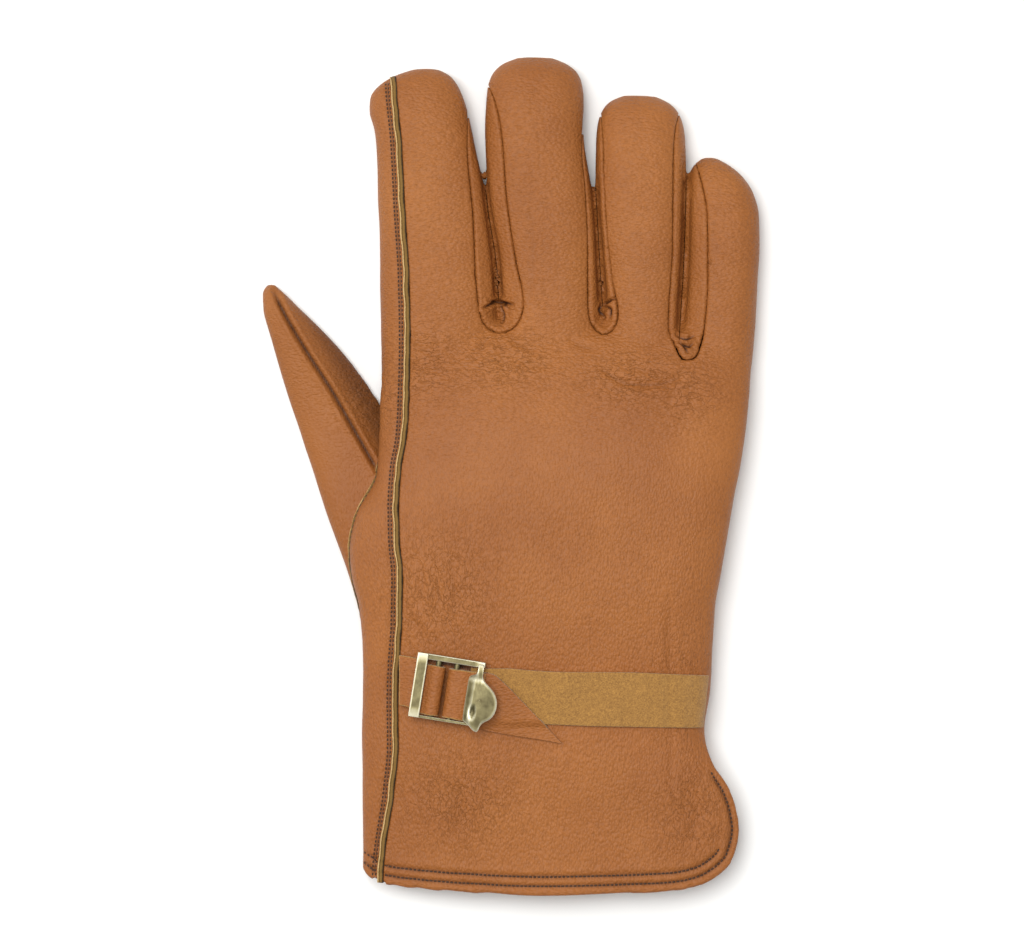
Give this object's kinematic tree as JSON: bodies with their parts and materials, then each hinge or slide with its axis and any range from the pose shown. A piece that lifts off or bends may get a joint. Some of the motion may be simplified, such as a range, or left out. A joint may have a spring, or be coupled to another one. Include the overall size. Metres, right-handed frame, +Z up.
{
  "type": "driver glove",
  "caption": "Right-hand leather driving glove, palm down, with keystone thumb, raw-edge outseam and a buckled wrist strap on the back.",
  "frame": {"origin": "on the surface the glove rests on, under the middle of its bounding box", "axes": "+Z up out of the back of the hand, +Y to the fingertips, +X to the little finger"},
  "size_m": [0.1448, 0.2446, 0.0287],
  "materials": {
    "grain_leather": "smooth tan grain leather with fine wrinkles",
    "raw_edge": "raw cut leather edge, golden",
    "suede": "mustard suede flesh side",
    "antique_brass": "antique brass, worn bright on its edges"
  },
  "bodies": {
    "root": {"back_shell": "grain_leather", "palm_shell": "grain_leather", "middle_finger_front": "grain_leather", "ring_finger_front": "grain_leather", "side_wall_index_middle": "grain_leather", "side_wall_middle_ring": "grain_leather", "side_wall_ring_little": "grain_leather", "thumb": "grain_leather", "thumb_gusset": "grain_leather", "outseam_raw_edge": "raw_edge", "thumb_raw_edge": "raw_edge", "wrist_strap": "suede", "strap_tab": "grain_leather", "buckle_frame": "antique_brass", "buckle_lever": "antique_brass"}
  },
  "joints": []
}
